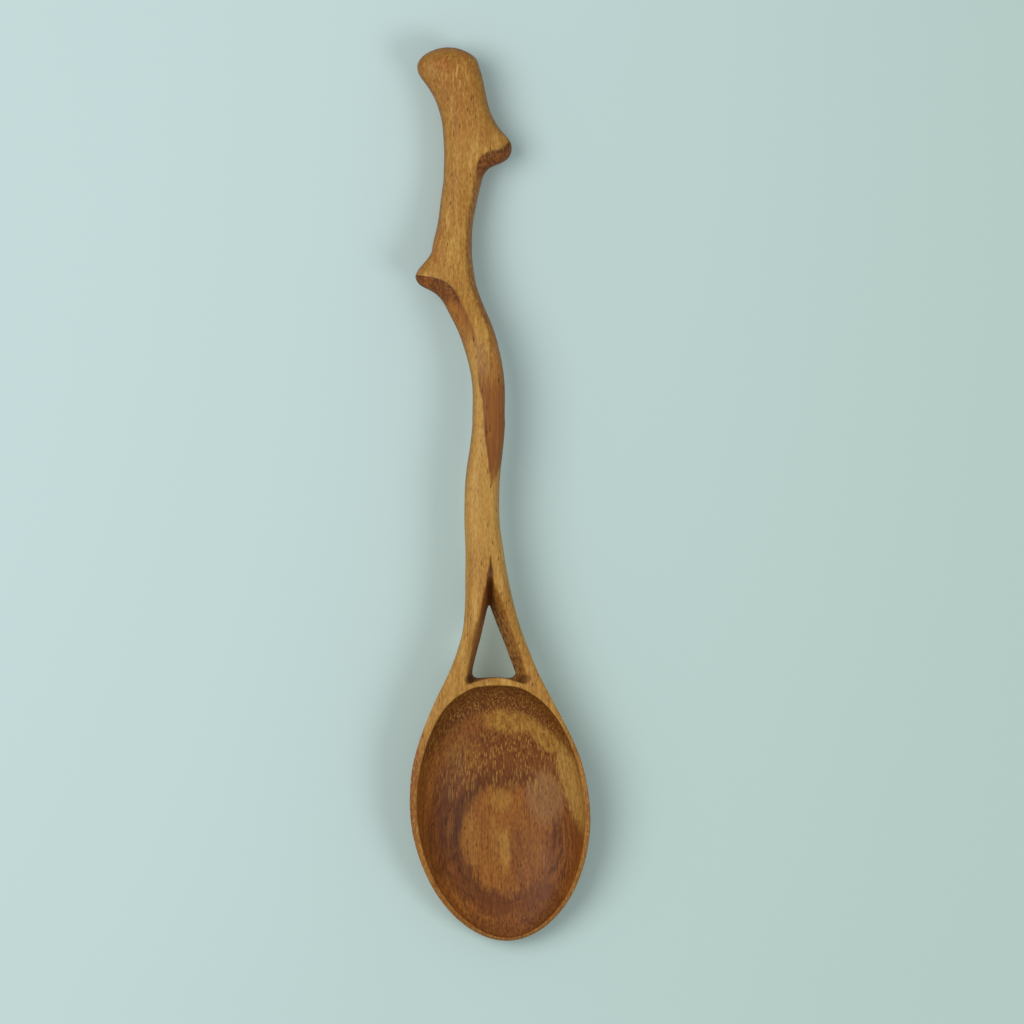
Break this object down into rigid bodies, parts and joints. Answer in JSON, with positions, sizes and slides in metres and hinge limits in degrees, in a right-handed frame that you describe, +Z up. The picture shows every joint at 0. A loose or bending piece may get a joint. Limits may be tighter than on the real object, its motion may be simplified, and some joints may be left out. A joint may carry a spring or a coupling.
{
  "type": "wooden spoon",
  "caption": "Carved one-piece wooden spoon with an egg-shaped bowl, a forked neck round a window, and a swaying twig-like handle with stubs and a knob.",
  "frame": {"origin": "on the sanded flat under the bowl, in the plane of the table that the spoon lies on", "axes": "+Y along the handle to its end, +Z up out of the bowl, +X to the right seen from above with the handle away"},
  "size_m": [0.0405, 0.2002, 0.0165],
  "materials": {
    "oiled_wood": "oiled hardwood, satin, with growth bands from golden brown to dark red brown and open pores"
  },
  "bodies": {
    "root": {"spoon": "oiled_wood"}
  },
  "joints": []
}
